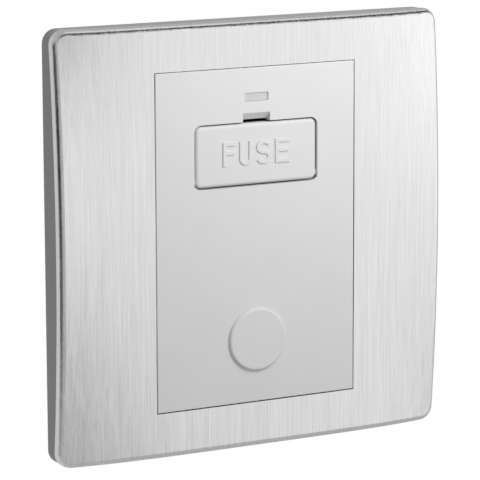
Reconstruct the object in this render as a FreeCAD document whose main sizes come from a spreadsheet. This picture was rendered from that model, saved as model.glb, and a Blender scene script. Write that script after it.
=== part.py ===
import FreeCAD, Part
import math
import os
import re
import Sketcher

# A fused connection unit for one wall box: a clip-on metal-faced plate over a white front moulding,
# with a hinged fuse carrier, a neon indicator and a capped flex outlet. Millimetres, +Z up. The wall
# is the plane Y = 0, the front faces -Y, and the origin lies midway between the two box screws.
# Depths are counted from the wall towards the room, so a depth of 7.2 is the plane Y = -7.2.

Vector = FreeCAD.Vector
Rotation = FreeCAD.Rotation

SIZES = {
    # clip-on plate
    "plate_size": 86.0,
    "plate_corner_r": 3.0,
    "plate_edge_r": 1.2,
    "plate_seam_r": 0.2,
    "face_depth": 7.2,
    "face_t": 2.0,
    "corner_drop": 2.4,
    # moulded frame behind the plate
    "trim_wall": 2.2,
    "trim_web": 1.2,
    "seam_step": 0.12,
    "clip_leg_x": 15.0,
    "clip_leg_w": 8.0,
    "clip_leg_t": 1.2,
    "clip_leg_gap": 0.3,
    "clip_leg_back": 0.3,
    # steel support frame
    "support_t": 1.5,
    "support_gap": 0.3,
    "support_corner_r": 2.5,
    "box_screw_pitch": 60.3,
    "slot_width": 4.0,
    "slot_length": 7.0,
    "tongue_w": 4.0,
    "tongue_t": 1.2,
    "tongue_z": 30.0,
    # front moulding
    "panel_w": 44.6,
    "panel_h": 67.4,
    "panel_gap": 0.15,
    "panel_t": 2.0,
    "panel_wall": 1.6,
    "panel_edge_r": 0.2,
    "flange_w": 50.0,
    "flange_h": 72.0,
    "flange_t": 1.6,
    # indicator
    "window_w": 5.4,
    "window_h": 1.7,
    "window_z": 27.85,
    "window_corner_r": 0.35,
    "lens_gap": 0.04,
    "lens_recess": 0.25,
    "lens_flange": 1.0,
    "lens_flange_t": 0.8,
    "lamp_r": 1.4,
    "lamp_gap": 0.1,
    "board_w": 16.0,
    "board_h": 6.4,
    "board_t": 1.6,
    "board_z": 27.9,
    "board_depth": 1.0,
    "peg_x": 6.2,
    "peg_r": 1.2,
    "resistor_r": 1.15,
    "resistor_l": 6.2,
    "resistor_lead_r": 0.3,
    "resistor_lead_reach": 1.4,
    "lead_r": 0.5,
    "lead_x": 6.6,
    "lead_drop": 1.4,
    # notch for a screwdriver above the carrier
    "notch_w": 6.1,
    "notch_h": 2.05,
    "notch_deep": 1.3,
    "notch_gap": 0.35,
    # fuse carrier
    "carrier_w": 27.1,
    "carrier_h": 12.2,
    "carrier_z": 16.55,
    "carrier_t": 1.8,
    "carrier_gap": 0.3,
    "carrier_corner_r": 1.2,
    "carrier_edge_r": 0.7,
    "slot_half": 9.7,
    "ledge_h": 1.4,
    "ledge_t": 1.5,
    "ledge_seat": 1.5,
    "shelf_h": 1.0,
    "shelf_t": 2.5,
    # hinge
    "pivot_in": 1.2,
    "pivot_up": 1.2,
    "barrel_r": 1.1,
    "barrel_end": 1.1,
    "barrel_gap": 0.4,
    "trunnion_r": 0.7,
    "trunnion_l": 1.2,
    "trunnion_gap": 0.05,
    "bearing_w": 2.4,
    "bearing_t": 1.8,
    # cartridge fuse and its cradle
    "fuse_l": 25.4,
    "fuse_r": 3.175,
    "fuse_in": 5.3,
    "fuse_up": 5.4,
    "fuse_cap_l": 5.2,
    "fuse_cap_t": 0.3,
    "fuse_fit": 0.02,
    "cradle_w": 11.0,
    "cradle_gap": 0.05,
    "cradle_wall": 1.1,
    "cradle_wrap": 0.9,
    "cheek_t": 0.65,
    "cheek_r": 9.0,
    "cheek_gap": 0.1,
    "carrier_rib_t": 1.0,
    # fuse contacts
    "contact_gap": 0.3,
    "contact_t": 0.7,
    "contact_w": 3.5,
    "contact_x": 9.75,
    "contact_wrap": 150.0,
    "contact_lean": 5.0,
    "contact_leg_t": 0.8,
    # rear housing
    "housing_w": 47.0,
    "housing_h": 66.0,
    "housing_d": 22.0,
    "housing_wall": 1.6,
    "housing_corner_r": 2.0,
    "deck_back": 8.0,
    "deck_t": 1.6,
    "bay_h": 40.0,
    "tower_x": 19.5,
    "tower_z": 14.0,
    "tower_r": 2.9,
    "boss_r": 2.3,
    "boss_hole_deep": 4.5,
    "boss_wall_gap": 0.2,
    # housing screws
    "screw_r": 1.3,
    "screw_gap": 0.3,
    "screw_head_r": 2.3,
    "screw_head_t": 1.8,
    "screw_sink": 3.0,
    "screw_thread_gap": 0.02,
    "screw_slot_w": 0.8,
    # terminals
    "terminal_w": 8.0,
    "terminal_d": 8.0,
    "terminal_h": 9.0,
    "terminal_gap": 0.2,
    "terminal_outer_x": 16.5,
    "terminal_inner_x": 5.5,
    "terminal_z": 26.5,
    "wire_r": 2.1,
    "wire_in": 3.2,
    "wire_notch_r": 2.5,
    "stem_r": 1.5,
    "stem_gap": 0.05,
    "rivet_r": 1.55,
    "rivet_rim": 0.7,
    "rivet_t": 0.6,
    "clamp_screw_r": 1.9,
    "clamp_screw_gap": 0.05,
    "clamp_head_r": 2.7,
    "clamp_head_t": 2.2,
    "clamp_back_off": 0.2,
    # straps
    "strap_t": 0.8,
    "strap_w": 3.4,
    "neutral_run_w": 2.2,
    "strap_gap": 0.25,
    # flex outlet
    "outlet_z": -20.9,
    "outlet_r": 5.9,
    "duct_r": 6.3,
    "duct_wall": 1.5,
    "cap_r": 6.42,
    "cap_proud": 0.7,
    "cap_edge_r": 0.55,
    "cap_spigot_t": 1.2,
    "cap_spigot_gap": 0.1,
    "cap_spigot_l": 3.4,
    "cap_barb": 0.25,
    # cord grip on the back
    "grip_x": 9.0,
    "grip_z": -8.0,
    "grip_tower_r": 2.6,
    "grip_bar_w": 24.0,
    "grip_bar_h": 6.0,
    "grip_bar_t": 5.5,
    "grip_arch_r": 4.0,
    "grip_screw_r": 1.5,
    "grip_screw_deep": 7.0,
    "grip_head_r": 2.6,
    "grip_head_t": 2.0,
}

doc = FreeCAD.newDocument("fused_connection_unit")
sheet = doc.addObject("Spreadsheet::Sheet", "Sizes")
for row, (alias, size) in enumerate(SIZES.items(), start=1):
    sheet.set("A%d" % row, alias)
    sheet.set("B%d" % row, str(size))
    sheet.setAlias("B%d" % row, alias)
doc.recompute()

PIECES = []


def number(expression):
    """The value in millimetres of an expression on the sheet's sizes."""
    return float(sheet.evalExpression(expression))


def bound(expression):
    """The same expression as another object of the document has to write it."""
    def on_sheet(word):
        return "Sizes." + word[0] if word[0] in SIZES else word[0]
    return re.sub(r"[a-z_]\w*", on_sheet, expression)


def piece(node):
    """Registers a finished object as one separate piece."""
    node.Label = node.Name
    PIECES.append(node)
    return node


# outlines, pads and pockets of a moulding or pressing

def new_body(name):
    return doc.addObject("PartDesign::Body", name)


def new_sketch(body, name, plane, offset):
    """A sketch on one of the body's own planes: XZ with its depth, YZ with its X, XY with its Z."""
    sketch = body.newObject("Sketcher::SketchObject", name)
    support = [f for f in body.Origin.OriginFeatures if f.Role == plane + "_Plane"][0]
    sketch.AttachmentSupport = [(support, "")]
    sketch.MapMode = "FlatFace"
    sketch.setExpression(".AttachmentOffset.Base.z", bound(offset))
    return sketch


def hold(sketch, kind, place, expression):
    """Adds one dimension to a sketch and ties it to the sheet."""
    index = sketch.addConstraint(Sketcher.Constraint(kind, *place, number(expression)))
    sketch.setExpression("Constraints[%d]" % index, bound(expression))


def polygon(sketch, points):
    """A closed outline through points, each a pair of expressions."""
    first = sketch.GeometryCount
    spots = [Vector(number(x), number(y), 0) for x, y in points]
    count = len(points)
    for i in range(count):
        sketch.addGeometry(Part.LineSegment(spots[i], spots[(i + 1) % count]), False)
    for i in range(count):
        sketch.addConstraint(Sketcher.Constraint("Coincident", first + i, 2, first + (i + 1) % count, 1))
    for i, (x, y) in enumerate(points):
        hold(sketch, "DistanceX", (-1, 1, first + i, 1), x)
        hold(sketch, "DistanceY", (-1, 1, first + i, 1), y)


def rectangle(sketch, width, height, x="0", y="0"):
    left, right = "(%s) - (%s) / 2" % (x, width), "(%s) + (%s) / 2" % (x, width)
    low, high = "(%s) - (%s) / 2" % (y, height), "(%s) + (%s) / 2" % (y, height)
    polygon(sketch, [(left, low), (right, low), (right, high), (left, high)])


def circle(sketch, radius, x="0", y="0"):
    index = sketch.addGeometry(Part.Circle(Vector(number(x), number(y), 0), Vector(0, 0, 1), number(radius)))
    hold(sketch, "DistanceX", (-1, 1, index, 3), x)
    hold(sketch, "DistanceY", (-1, 1, index, 3), y)
    hold(sketch, "Radius", (index,), radius)


def slot(sketch, length, width, x):
    """A round-ended slot along X, centred on the X axis."""
    reach = "(%s - %s) / 2" % (length, width)
    first = sketch.GeometryCount
    half, run, middle = number(width) / 2, number(reach), number(x)
    for side in (1, -1):
        centre = Vector(middle + side * run, 0, 0)
        ends = (-math.pi / 2, math.pi / 2) if side > 0 else (math.pi / 2, 3 * math.pi / 2)
        sketch.addGeometry(Part.ArcOfCircle(Part.Circle(centre, Vector(0, 0, 1), half), *ends), False)
    for side in (1, -1):
        sketch.addGeometry(Part.LineSegment(Vector(middle + side * run, side * half, 0),
                                            Vector(middle - side * run, side * half, 0)), False)
    right, left, top, bottom = range(first, first + 4)
    for arc, end, line, start in ((right, 2, top, 1), (left, 1, top, 2), (left, 2, bottom, 1),
                                  (right, 1, bottom, 2)):
        sketch.addConstraint(Sketcher.Constraint("Tangent", arc, end, line, start))
    sketch.addConstraint(Sketcher.Constraint("Horizontal", top))
    hold(sketch, "Radius", (right,), "%s / 2" % width)
    hold(sketch, "DistanceX", (-1, 1, right, 3), "%s + %s" % (x, reach))
    hold(sketch, "DistanceX", (-1, 1, left, 3), "%s - %s" % (x, reach))
    hold(sketch, "DistanceY", (-1, 1, right, 3), "0")


def feature(kind, body, sketch, length, both_ways=False):
    made = body.newObject("PartDesign::" + kind, sketch.Name.replace("outline", kind.lower()))
    made.Profile = sketch
    made.Midplane = both_ways
    made.setExpression("Length", bound(length))
    return made


def pad(body, name, draw, back, front, plane="XZ"):
    """Adds the outline that draw() makes, from one depth forward to another."""
    sketch = new_sketch(body, name + "_outline", plane, back)
    draw(sketch)
    return feature("Pad", body, sketch, "(%s) - (%s)" % (front, back))


def pocket(body, name, draw, back, front, plane="XZ"):
    """Cuts the outline that draw() makes, from one depth back to another."""
    sketch = new_sketch(body, name + "_outline", plane, front)
    draw(sketch)
    return feature("Pocket", body, sketch, "(%s) - (%s)" % (front, back))


def pad_across(body, name, draw, width, at="0"):
    """Adds a side profile, drawn as Y and Z, over a width centred on one X."""
    sketch = new_sketch(body, name + "_outline", "YZ", at)
    draw(sketch)
    return feature("Pad", body, sketch, width, both_ways=True)


def pocket_across(body, name, draw, width, at="0"):
    """Cuts a side profile, drawn as Y and Z, over a width centred on one X."""
    sketch = new_sketch(body, name + "_outline", "YZ", at)
    draw(sketch)
    return feature("Pocket", body, sketch, width, both_ways=True)


def round_edges(body, name, radius, chosen):
    """Rounds the edges of the body so far that chosen() picks."""
    doc.recompute()
    base = body.Tip
    names = ["Edge%d" % i for i, edge in enumerate(base.Shape.Edges, start=1) if chosen(edge)]
    made = body.newObject("PartDesign::Fillet", name)
    made.Base = (base, names)
    made.setExpression("Radius", bound(radius))
    return made


def runs_along(edge, axis):
    """Whether an edge is straight and lies along one axis, 0, 1 or 2 for X, Y or Z."""
    if not isinstance(edge.Curve, (Part.Line, Part.LineSegment)):
        return False
    return abs(edge.tangentAt(edge.FirstParameter)[axis]) > 0.999


def at_depth(edge, depth):
    """Whether an edge lies wholly in the plane at a depth."""
    box = edge.BoundBox
    return abs(box.YMin + number(depth)) < 1e-4 and abs(box.YMax + number(depth)) < 1e-4


# plain solids of stampings, turned parts and fasteners

TURNS = {"X": Rotation(Vector(0, 1, 0), 90), "Y": Rotation(Vector(1, 0, 0), -90), "Z": Rotation()}


def place(item, x, y, z, rotation=Rotation()):
    item.Placement = FreeCAD.Placement(Vector(number(x), number(y), number(z)), rotation)
    for axis, expression in zip("xyz", (x, y, z)):
        item.setExpression("Placement.Base." + axis, bound(expression))
    return item


def block(name, x, y, z):
    """A box between two limits along each axis, each a pair of expressions."""
    box = doc.addObject("Part::Box", name)
    for side, (low, high) in zip(("Length", "Width", "Height"), (x, y, z)):
        box.setExpression(side, bound("(%s) - (%s)" % (high, low)))
    return place(box, x[0], y[0], z[0])


def cylinder(name, radius, length, x, y, z, axis="Y"):
    """A cylinder that starts at a point and runs along one axis."""
    drum = doc.addObject("Part::Cylinder", name)
    drum.setExpression("Radius", bound(radius))
    drum.setExpression("Height", bound(length))
    return place(drum, x, y, z, TURNS[axis])


def cut(name, base, *tools):
    made = doc.addObject("Part::Cut", name)
    made.Base = base
    made.Tool = tools[0] if len(tools) == 1 else fuse(name + "_tools", *tools)
    return made


def fuse(name, *shapes):
    made = doc.addObject("Part::MultiFuse", name)
    made.Shapes = list(shapes)
    return made


def group(name, items):
    """Separate solids that are kept as one node."""
    made = doc.addObject("Part::Compound", name)
    made.Links = items
    return piece(made)


# levels and places that several pieces share

PANEL_BACK = "face_depth - panel_t"
WEB_FRONT = "face_depth - face_t"
FLANGE_FRONT = "support_t + flange_t"
OPENING_W = "panel_w + 2 * panel_gap"
OPENING_H = "panel_h + 2 * panel_gap"
INNER_W = "housing_w - 2 * housing_wall"
INNER_H = "housing_h - 2 * housing_wall"
SUPPORT_SIZE = "plate_size - 2 * seam_step - 2 * trim_wall - 2 * support_gap"
LEG_OUTER_Z = "(%s) / 2 - 2.5 * clip_leg_t" % SUPPORT_SIZE
CARRIER_LOW = "carrier_z - carrier_h / 2"
CARRIER_HIGH = "carrier_z + carrier_h / 2"
APERTURE_W = "carrier_w + 2 * carrier_gap"
APERTURE_LOW = "carrier_z - carrier_h / 2 - carrier_gap"
APERTURE_HIGH = "carrier_z + carrier_h / 2 + carrier_gap"
PIVOT_Y = "pivot_in - face_depth"
PIVOT_Z = "carrier_z - carrier_h / 2 + pivot_up"
FUSE_Y = "fuse_in - face_depth"
FUSE_Z = "carrier_z - carrier_h / 2 + fuse_up"
DECK_REAR = "deck_back + deck_t"
STRAP_FRONT = "deck_back - strap_t"
WIRE_Y = "deck_back + deck_t + wire_in"
TERMINAL_REAR = "deck_back + deck_t + terminal_d"
TERMINALS = {
    "load_terminal": ("terminal_inner_x", "terminal_z"),
    "line_terminal": ("-terminal_outer_x", "-terminal_z"),
    "neutral_load_terminal": ("terminal_outer_x", "terminal_z"),
    "neutral_supply_terminal": ("terminal_outer_x", "-terminal_z"),
    "earth_supply_terminal": ("-terminal_outer_x", "terminal_z"),
    "earth_load_terminal": ("-terminal_inner_x", "terminal_z"),
}
SIDES = ("-", "")


# clip-on plate and the frame behind it

def crowned_slab(front, thickness):
    """A slab whose front is flat about its middle and falls back smoothly towards its four corners."""
    reach = number("plate_size / 2") + number("plate_edge_r")
    drop = number("corner_drop") * (reach / number("plate_size / 2")) ** 6
    surface = Part.BezierSurface()
    surface.increase(4, 2)
    for i in range(5):
        for j in range(3):
            pole = Vector(reach * (i - 2) / 2, drop * (-1) ** (i + j) - front, reach * (j - 1))
            surface.setPole(i + 1, j + 1, pole)
    return surface.toShape().extrude(Vector(0, thickness, 0))


def square_prism(size, corner_r, back, front):
    prism = Part.makeBox(size, front - back, size, Vector(-size / 2, -front, -size / 2))
    if corner_r > 0:
        prism = prism.makeFillet(corner_r, [edge for edge in prism.Edges if runs_along(edge, 1)])
    return prism


def opening_prism(width, height):
    deep = number("face_depth") * 2
    return Part.makeBox(width, deep, height, Vector(-width / 2, -deep, -height / 2))


def face_by_outlook(shape, toward):
    """The largest face whose outward normal points mostly one way."""
    def outlook(face):
        u0, u1, v0, v1 = face.ParameterRange
        return face.normalAt((u0 + u1) / 2, (v0 + v1) / 2).dot(toward)
    return max((face for face in shape.Faces if outlook(face) > 0.9), key=lambda face: face.Area)


def face_plate():
    depth = number("face_depth")
    prism = square_prism(number("plate_size"), number("plate_corner_r"), 0, depth + 1)
    plate = prism.common(crowned_slab(depth, number("face_t")))
    front = face_by_outlook(plate, Vector(0, -1, 0))
    plate = plate.makeFillet(number("plate_edge_r"), front.OuterWire.Edges)
    back = face_by_outlook(plate, Vector(0, 1, 0))
    plate = plate.makeFillet(number("plate_seam_r"), back.OuterWire.Edges)
    plate = plate.cut(opening_prism(number(OPENING_W), number(OPENING_H)))
    made = doc.addObject("Part::Feature", "face_plate")
    made.Shape = plate
    return piece(made)


def trim_frame():
    outline = number("plate_size - 2 * seam_step")
    corner = number("plate_corner_r - seam_step")
    front = number(WEB_FRONT)
    wall = number("trim_wall")
    deep = number("face_depth") * 2
    ring = square_prism(outline, corner, 0, front + 1).common(crowned_slab(front, deep))
    web_back = front - number("trim_web")
    hollow = square_prism(outline - 2 * wall, max(corner - wall, 0), -1, front + 1)
    ring = ring.cut(hollow.common(crowned_slab(web_back, deep)))
    ring = ring.cut(opening_prism(number(OPENING_W), number(OPENING_H)))
    leg_w, leg_t, leg_z = number("clip_leg_w"), number("clip_leg_t"), number(LEG_OUTER_Z)
    leg_back = number("clip_leg_back")
    legs = []
    for x in (-number("clip_leg_x"), number("clip_leg_x")):
        for low in (leg_z - leg_t, -leg_z):
            corner_point = Vector(x - leg_w / 2, -web_back - number("trim_web") / 2, low)
            legs.append(Part.makeBox(leg_w, web_back + number("trim_web") / 2 - leg_back, leg_t, corner_point))
    made = doc.addObject("Part::Feature", "trim_frame")
    made.Shape = ring.fuse(legs).removeSplitter()
    return piece(made)


# steel frame that the box screws hold

def support_frame():
    body = new_body("support_frame")
    pad(body, "sheet", lambda s: rectangle(s, SUPPORT_SIZE, SUPPORT_SIZE), "0", "support_t")
    round_edges(body, "sheet_corners", "support_corner_r", lambda edge: runs_along(edge, 1))
    pocket(body, "window", lambda s: rectangle(s, INNER_W, INNER_H), "0", "support_t")

    def screw_slots(sketch):
        for side in SIDES:
            slot(sketch, "slot_length", "slot_width", side + "box_screw_pitch / 2")
    pocket(body, "screw_slots", screw_slots, "0", "support_t")

    def leg_slots(sketch):
        for x in SIDES:
            for z in SIDES:
                middle = "%s((%s) - clip_leg_t / 2 - clip_leg_gap / 2)" % (z, LEG_OUTER_Z)
                rectangle(sketch, "clip_leg_w + 2 * clip_leg_gap", "clip_leg_t + clip_leg_gap",
                          x + "clip_leg_x", middle)
    pocket(body, "leg_slots", leg_slots, "0", "support_t")

    def tongue(sketch):
        rectangle(sketch, "tongue_w", "(%s) / 2 + tongue_t - tongue_z" % INNER_H,
                  "-(terminal_outer_x + terminal_inner_x) / 2",
                  "((%s) / 2 + tongue_t + tongue_z) / 2" % INNER_H)
    pad(body, "tongue_root", tongue, "0", "support_t")

    def tongue_leg(sketch):
        rectangle(sketch, "tongue_w", "tongue_t", "-(terminal_outer_x + terminal_inner_x) / 2",
                  "tongue_z + tongue_t / 2")
    pad(body, "tongue_leg", tongue_leg, "-(%s)" % STRAP_FRONT, "support_t")
    return piece(body)


# white front moulding

def front_panel():
    body = new_body("front_panel")
    pad(body, "panel", lambda s: rectangle(s, "panel_w", "panel_h"), "support_t", "face_depth")
    round_edges(body, "panel_edge", "panel_edge_r", lambda edge: at_depth(edge, "face_depth"))
    pad(body, "flange", lambda s: rectangle(s, "flange_w", "flange_h"), "support_t", FLANGE_FRONT)
    pocket(body, "inside", lambda s: rectangle(s, "panel_w - 2 * panel_wall", "panel_h - 2 * panel_wall"),
           "support_t", PANEL_BACK)

    def aperture(sketch):
        rectangle(sketch, APERTURE_W, "carrier_h + 2 * carrier_gap", "0", "carrier_z")
    pocket(body, "aperture", aperture, PANEL_BACK, "face_depth")
    round_edges(body, "aperture_corners", "carrier_corner_r + carrier_gap", lambda edge: (
        runs_along(edge, 1) and abs(abs(edge.BoundBox.XMin) - number(APERTURE_W) / 2) < 1e-4
        and edge.BoundBox.ZMin > 0 and edge.BoundBox.YMax < -number(PANEL_BACK) + 1e-4))

    def ledges(sketch):
        width = "(%s) / 2 + ledge_seat - slot_half" % APERTURE_W
        for side in SIDES:
            middle = side + "((%s) / 2 + ledge_seat + slot_half) / 2" % APERTURE_W
            rectangle(sketch, width, "ledge_h + ledge_seat", middle,
                      "(%s) + (ledge_seat - ledge_h) / 2" % APERTURE_HIGH)
    pad(body, "ledges", ledges, "(%s) - ledge_t" % PANEL_BACK, PANEL_BACK)

    def shelves(sketch):
        width = "(%s) / 2 + ledge_seat - slot_half" % APERTURE_W
        for side in SIDES:
            middle = side + "((%s) / 2 + ledge_seat + slot_half) / 2" % APERTURE_W
            rectangle(sketch, width, "shelf_h + ledge_seat", middle,
                      "(%s) + (shelf_h - ledge_seat) / 2" % APERTURE_LOW)
    pad(body, "shelves", shelves, "(%s) - shelf_t" % PANEL_BACK, PANEL_BACK)

    def bearings(sketch):
        for side in SIDES:
            rectangle(sketch, "bearing_w", "2 * (pivot_up + carrier_gap + ledge_seat / 2)",
                      side + "((%s) / 2 + bearing_w / 2)" % APERTURE_W, PIVOT_Z)
    pad(body, "bearings", bearings, "(%s) - bearing_t" % PANEL_BACK, PANEL_BACK)
    pocket_across(body, "barrel_groove", lambda s: circle(s, "barrel_r + barrel_gap", PIVOT_Y, PIVOT_Z),
                  APERTURE_W)
    pocket_across(body, "sockets", lambda s: circle(s, "trunnion_r + trunnion_gap", PIVOT_Y, PIVOT_Z),
                  "carrier_w + 2 * trunnion_l + 2 * carrier_gap")

    def notch(sketch):
        top = "(%s) + notch_h - carrier_gap" % APERTURE_HIGH
        polygon(sketch, [("-face_depth - 1", top),
                         ("-face_depth", top),
                         ("notch_deep - face_depth", "(%s) + notch_gap" % APERTURE_HIGH),
                         ("panel_t + ledge_t - face_depth", "(%s) + notch_gap" % APERTURE_HIGH),
                         ("panel_t + ledge_t - face_depth", "(%s) - notch_gap" % APERTURE_HIGH),
                         ("-face_depth - 1", "(%s) - notch_gap" % APERTURE_HIGH)])
    pocket_across(body, "notch", notch, "notch_w")
    pocket(body, "window", lambda s: rectangle(s, "window_w", "window_h", "0", "window_z"),
           PANEL_BACK, "face_depth")
    round_edges(body, "window_corners", "window_corner_r", lambda edge: (
        runs_along(edge, 1) and abs(abs(edge.BoundBox.XMin) - number("window_w / 2")) < 1e-4
        and abs(edge.BoundBox.ZMin - number("window_z")) < number("window_h")))

    def duct(sketch):
        circle(sketch, "duct_r + duct_wall", "0", "outlet_z")
        circle(sketch, "duct_r", "0", "outlet_z")
    pad(body, "duct", duct, "0", PANEL_BACK)
    pocket(body, "outlet", lambda s: circle(s, "outlet_r", "0", "outlet_z"), PANEL_BACK, "face_depth")

    def bosses(sketch):
        for x in SIDES:
            for z in SIDES:
                circle(sketch, "boss_r", x + "(tower_x - boss_wall_gap)", z + "tower_z")
    pad(body, "bosses", bosses, "0", PANEL_BACK)

    def boss_holes(sketch):
        for x in SIDES:
            for z in SIDES:
                circle(sketch, "screw_r + screw_thread_gap", x + "(tower_x - boss_wall_gap)", z + "tower_z")
    pocket(body, "boss_holes", boss_holes, "0", "boss_hole_deep")

    def pegs(sketch):
        for side in SIDES:
            circle(sketch, "peg_r", side + "peg_x", "board_z")
    pad(body, "pegs", pegs, "-board_depth", PANEL_BACK)
    return piece(body)


# indicator: lens, lamp, board, resistor and leads

def indicator():
    lens_flange = block("lens_flange",
                        ("-window_w / 2 - lens_flange", "window_w / 2 + lens_flange"),
                        ("-(%s)" % PANEL_BACK, "lens_flange_t - (%s)" % PANEL_BACK),
                        ("window_z - window_h / 2 - lens_flange", "window_z + window_h / 2 + lens_flange"))
    lens_bar = block("lens_bar",
                     ("-window_w / 2 + lens_gap", "window_w / 2 - lens_gap"),
                     ("lens_recess - face_depth", "-(%s)" % PANEL_BACK),
                     ("window_z - window_h / 2 + lens_gap", "window_z + window_h / 2 - lens_gap"))
    rounded = doc.addObject("Part::Fillet", "lens_bar_rounded")
    rounded.Base = lens_bar
    doc.recompute()
    corners = [i for i, edge in enumerate(lens_bar.Shape.Edges, start=1) if runs_along(edge, 1)]
    radius = number("window_corner_r - lens_gap")
    rounded.Edges = [(i, radius, radius) for i in corners]
    piece(fuse("indicator_lens", lens_flange, rounded))

    lamp_front = "(%s) - lens_flange_t - lamp_gap" % PANEL_BACK
    glass = cylinder("lamp_glass", "lamp_r", "(%s) - lamp_r + board_depth" % lamp_front,
                     "0", "lamp_r - (%s)" % lamp_front, "window_z")
    dome = doc.addObject("Part::Sphere", "lamp_dome")
    dome.setExpression("Radius", bound("lamp_r"))
    place(dome, "0", "lamp_r - (%s)" % lamp_front, "window_z")
    piece(fuse("indicator_lamp", glass, dome))

    board_rear = "board_depth + board_t"
    piece(block("indicator_board", ("-board_w / 2", "board_w / 2"), ("board_depth", board_rear),
                ("board_z - board_h / 2", "board_z + board_h / 2")))

    wire_y = "(%s) + resistor_r" % board_rear
    body = cylinder("resistor_body", "resistor_r", "resistor_l", "-resistor_l / 2", wire_y, "board_z", "X")
    lead = cylinder("resistor_lead", "resistor_lead_r", "resistor_l + 2 * resistor_lead_reach",
                    "-resistor_l / 2 - resistor_lead_reach", wire_y, "board_z", "X")
    legs = [cylinder("resistor_leg_%d" % i, "resistor_lead_r", "resistor_r",
                     side + "(resistor_l / 2 + resistor_lead_reach)", board_rear, "board_z")
            for i, side in enumerate(SIDES)]
    joints = []
    for i, side in enumerate(SIDES):
        joint = doc.addObject("Part::Sphere", "resistor_bend_%d" % i)
        joint.setExpression("Radius", bound("resistor_lead_r"))
        joints.append(place(joint, side + "(resistor_l / 2 + resistor_lead_reach)", wire_y, "board_z"))
    piece(fuse("indicator_resistor", body, lead, *legs, *joints))

    # one lead drops straight to the load rivet, the other crosses to the neutral one
    rivet_front = "(%s) - rivet_t" % STRAP_FRONT
    straight = cylinder("lead_to_load", "lead_r", "(%s) - (%s)" % (rivet_front, board_rear),
                        "terminal_inner_x", board_rear, "terminal_z")
    bend_y = "(%s) + lead_drop" % board_rear
    stub = cylinder("lead_stub", "lead_r", "lead_drop", "lead_x", board_rear, "terminal_z + lead_drop")
    run = cylinder("lead_run", "lead_r", "terminal_outer_x - lead_x", "lead_x", bend_y,
                   "terminal_z + lead_drop", "X")
    fall = cylinder("lead_fall", "lead_r", "lead_drop", "terminal_outer_x", bend_y, "terminal_z", "Z")
    tail = cylinder("lead_tail", "lead_r", "(%s) - (%s)" % (rivet_front, bend_y), "terminal_outer_x",
                    bend_y, "terminal_z")
    bends = []
    for i, (x, z) in enumerate((("lead_x", "terminal_z + lead_drop"),
                                ("terminal_outer_x", "terminal_z + lead_drop"),
                                ("terminal_outer_x", "terminal_z"))):
        bend = doc.addObject("Part::Sphere", "lead_bend_%d" % i)
        bend.setExpression("Radius", bound("lead_r"))
        bends.append(place(bend, x, bend_y, z))
    group("indicator_leads", [straight, fuse("lead_to_neutral", stub, run, fall, tail, *bends)])


# hinged carrier with the cartridge fuse in its cradle

def fuse_carrier():
    body = new_body("fuse_carrier")
    plate_back = "face_depth - carrier_t"
    pad(body, "plate", lambda s: rectangle(s, "carrier_w", "carrier_h", "0", "carrier_z"),
        plate_back, "face_depth")
    round_edges(body, "plate_corners", "carrier_corner_r", lambda edge: runs_along(edge, 1))
    round_edges(body, "plate_edge", "carrier_edge_r", lambda edge: at_depth(edge, "face_depth"))

    barrel_w = "carrier_w / 2 - barrel_end - slot_half"
    for i, side in enumerate(SIDES):
        pad_across(body, "barrel_%d" % i, lambda s: circle(s, "barrel_r", PIVOT_Y, PIVOT_Z), barrel_w,
                   side + "(slot_half + (%s) / 2)" % barrel_w)
    trunnion_w = "trunnion_l + barrel_end"
    for i, side in enumerate(SIDES):
        pad_across(body, "trunnion_%d" % i, lambda s: circle(s, "trunnion_r", PIVOT_Y, PIVOT_Z), trunnion_w,
                   side + "(carrier_w / 2 - barrel_end + (%s) / 2)" % trunnion_w)

    def cradle(sketch):
        reach = "cradle_gap + cradle_wall + fuse_r - fuse_cap_t"
        polygon(sketch, [("-(%s)" % plate_back, "(%s) - (%s)" % (FUSE_Z, reach)),
                         ("(%s) + cradle_wrap" % FUSE_Y, "(%s) - (%s)" % (FUSE_Z, reach)),
                         ("(%s) + cradle_wrap" % FUSE_Y, "(%s) + (%s)" % (FUSE_Z, reach)),
                         ("-(%s)" % plate_back, "(%s) + (%s)" % (FUSE_Z, reach))])
    pad_across(body, "cradle", cradle, "cradle_w")
    pocket_across(body, "cradle_bore", lambda s: circle(s, "fuse_r - fuse_cap_t + cradle_gap", FUSE_Y, FUSE_Z),
                  "cradle_w")

    inner = "fuse_l / 2 + cheek_gap"
    for i, side in enumerate(SIDES):
        pad_across(body, "cheek_%d" % i, cheek, "cheek_t", side + "((%s) + cheek_t / 2)" % inner)
    rib_top = "(%s) + sqrt(cheek_r * cheek_r - (pivot_in - carrier_t - carrier_rib_t)^2)" % PIVOT_Z
    for i, side in enumerate(SIDES):
        def rib(sketch):
            rectangle(sketch, "(%s) + cheek_t / 2 - cradle_w / 2" % inner, "carrier_rib_t",
                      side + "((%s) + cheek_t / 2 + cradle_w / 2) / 2" % inner,
                      "(%s) - carrier_rib_t" % rib_top)
        pad(body, "rib_%d" % i, rib, "(%s) - carrier_rib_t" % plate_back, plate_back)
    return piece(body)


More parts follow.
